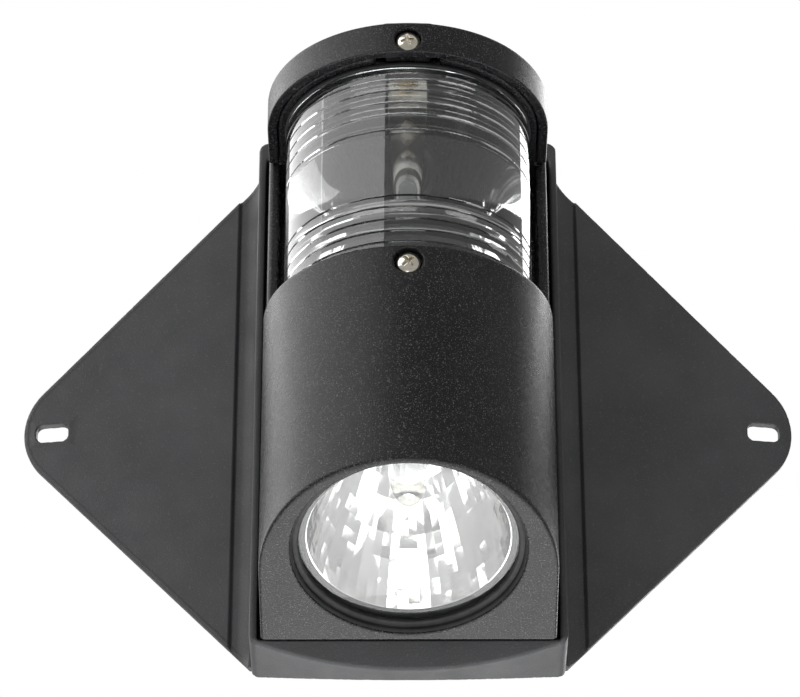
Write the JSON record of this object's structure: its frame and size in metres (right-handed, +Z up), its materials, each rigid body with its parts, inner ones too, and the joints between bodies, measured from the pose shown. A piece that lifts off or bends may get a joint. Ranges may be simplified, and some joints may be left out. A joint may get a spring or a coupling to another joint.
{
  "type": "navigation light",
  "caption": "Combined masthead and foredeck light: clear ringed lens over a hooded downlight, in a black housing on a flexible mast base with two winged mounting flaps.",
  "frame": {"origin": "on the centre line of the concave mast face, where the back touches the mast, level with the hood screw", "axes": "+X to the right seen from in front (across the two wings), +Y back into the mast, +Z up along the mast"},
  "size_m": [0.2018, 0.0932, 0.1534],
  "materials": {
    "base_rubber": "soft matte moulded black rubber with a faint bloom",
    "housing_black": "black moulded plastic with a fine sparkle grain",
    "seal_rubber": "dull black sealing rubber",
    "screw_steel": "bright pan head screws, slightly warm",
    "lens_clear": "clear moulded polycarbonate, polished",
    "lamp_glass": "clear lamp glass",
    "reflector_mirror": "faceted mirror coating",
    "nickel": "nickel plated, satin",
    "brass": "rolled brass strip",
    "filament": "drawn tungsten wire",
    "ceramic_cream": "cream ceramic",
    "lead_red": "red insulation",
    "lead_black": "black insulation"
  },
  "bodies": {
    "mast_base": {"mast_base_tray": "base_rubber", "tray_gasket": "seal_rubber", "cable_grommet": "seal_rubber", "housing_chassis": "housing_black", "chassis_screw_upper_left": "screw_steel", "chassis_screw_upper_right": "screw_steel", "chassis_screw_lower_left": "screw_steel", "chassis_screw_lower_right": "screw_steel", "contact_spring_top": "nickel", "contact_spring_bottom": "nickel", "contact_rivet_top": "brass", "contact_rivet_bottom": "brass", "terminal_block": "ceramic_cream", "terminal_tab_negative": "brass", "terminal_tab_positive": "brass", "terminal_screw_negative": "nickel", "terminal_screw_positive": "nickel", "masthead_lead_top": "lead_black", "masthead_lead_bottom": "lead_black"},
    "left_wing_flap": {"left_wing": "base_rubber"},
    "right_wing_flap": {"right_wing": "base_rubber"},
    "cap_cover": {"cap": "housing_black"},
    "cap_fastener": {"cap_screw": "screw_steel"},
    "lens": {"masthead_lens": "lens_clear", "lens_seal_top": "seal_rubber", "lens_seal_bottom": "seal_rubber"},
    "masthead_bulb": {"masthead_bulb_glass": "lamp_glass", "bulb_cap_top": "nickel", "bulb_cap_bottom": "nickel", "bulb_filament": "filament"},
    "hood_cover": {"hood": "housing_black", "deck_glass": "lamp_glass", "deck_glass_gasket": "seal_rubber", "deck_reflector": "reflector_mirror", "deck_capsule": "lamp_glass", "deck_lamp_base": "ceramic_cream", "deck_lampholder": "ceramic_cream", "deck_retaining_clip": "nickel", "deck_lead_positive": "lead_red", "deck_lead_negative": "lead_black", "lead_receptacle_negative": "lead_black", "lead_receptacle_positive": "lead_black"},
    "hood_fastener": {"hood_screw": "screw_steel"}
  },
  "joints": [
    {"name": "left_wing_flex", "type": "hinge", "parent": "mast_base", "child": "left_wing_flap", "pos_m": [-0.0396, 0.0121, 0], "axis": [0, 0, -1], "range_deg": [-8, 30], "stiffness_Nm_per_rad": 0.4},
    {"name": "right_wing_flex", "type": "hinge", "parent": "mast_base", "child": "right_wing_flap", "pos_m": [0.0396, 0.0121, 0], "axis": [0, 0, 1], "range_deg": [-8, 30], "stiffness_Nm_per_rad": 0.4},
    {"name": "cap_pull", "type": "slide", "parent": "mast_base", "child": "cap_cover", "axis": [0, -1, 0], "range_m": [0, 0.05]},
    {"name": "cap_screw_withdraw", "type": "slide", "parent": "cap_cover", "child": "cap_fastener", "axis": [0, -1, 0], "range_m": [0, 0.016]},
    {"name": "lens_pull", "type": "slide", "parent": "mast_base", "child": "lens", "axis": [0, -1, 0], "range_m": [0, 0.045]},
    {"name": "bulb_unclip", "type": "slide", "parent": "mast_base", "child": "masthead_bulb", "axis": [0, -1, 0], "range_m": [0, 0.02]},
    {"name": "hood_pull", "type": "slide", "parent": "mast_base", "child": "hood_cover", "axis": [0, -1, 0], "range_m": [0, 0.06]},
    {"name": "hood_screw_withdraw", "type": "slide", "parent": "hood_cover", "child": "hood_fastener", "axis": [0, -1, 0], "range_m": [0, 0.016]}
  ]
}
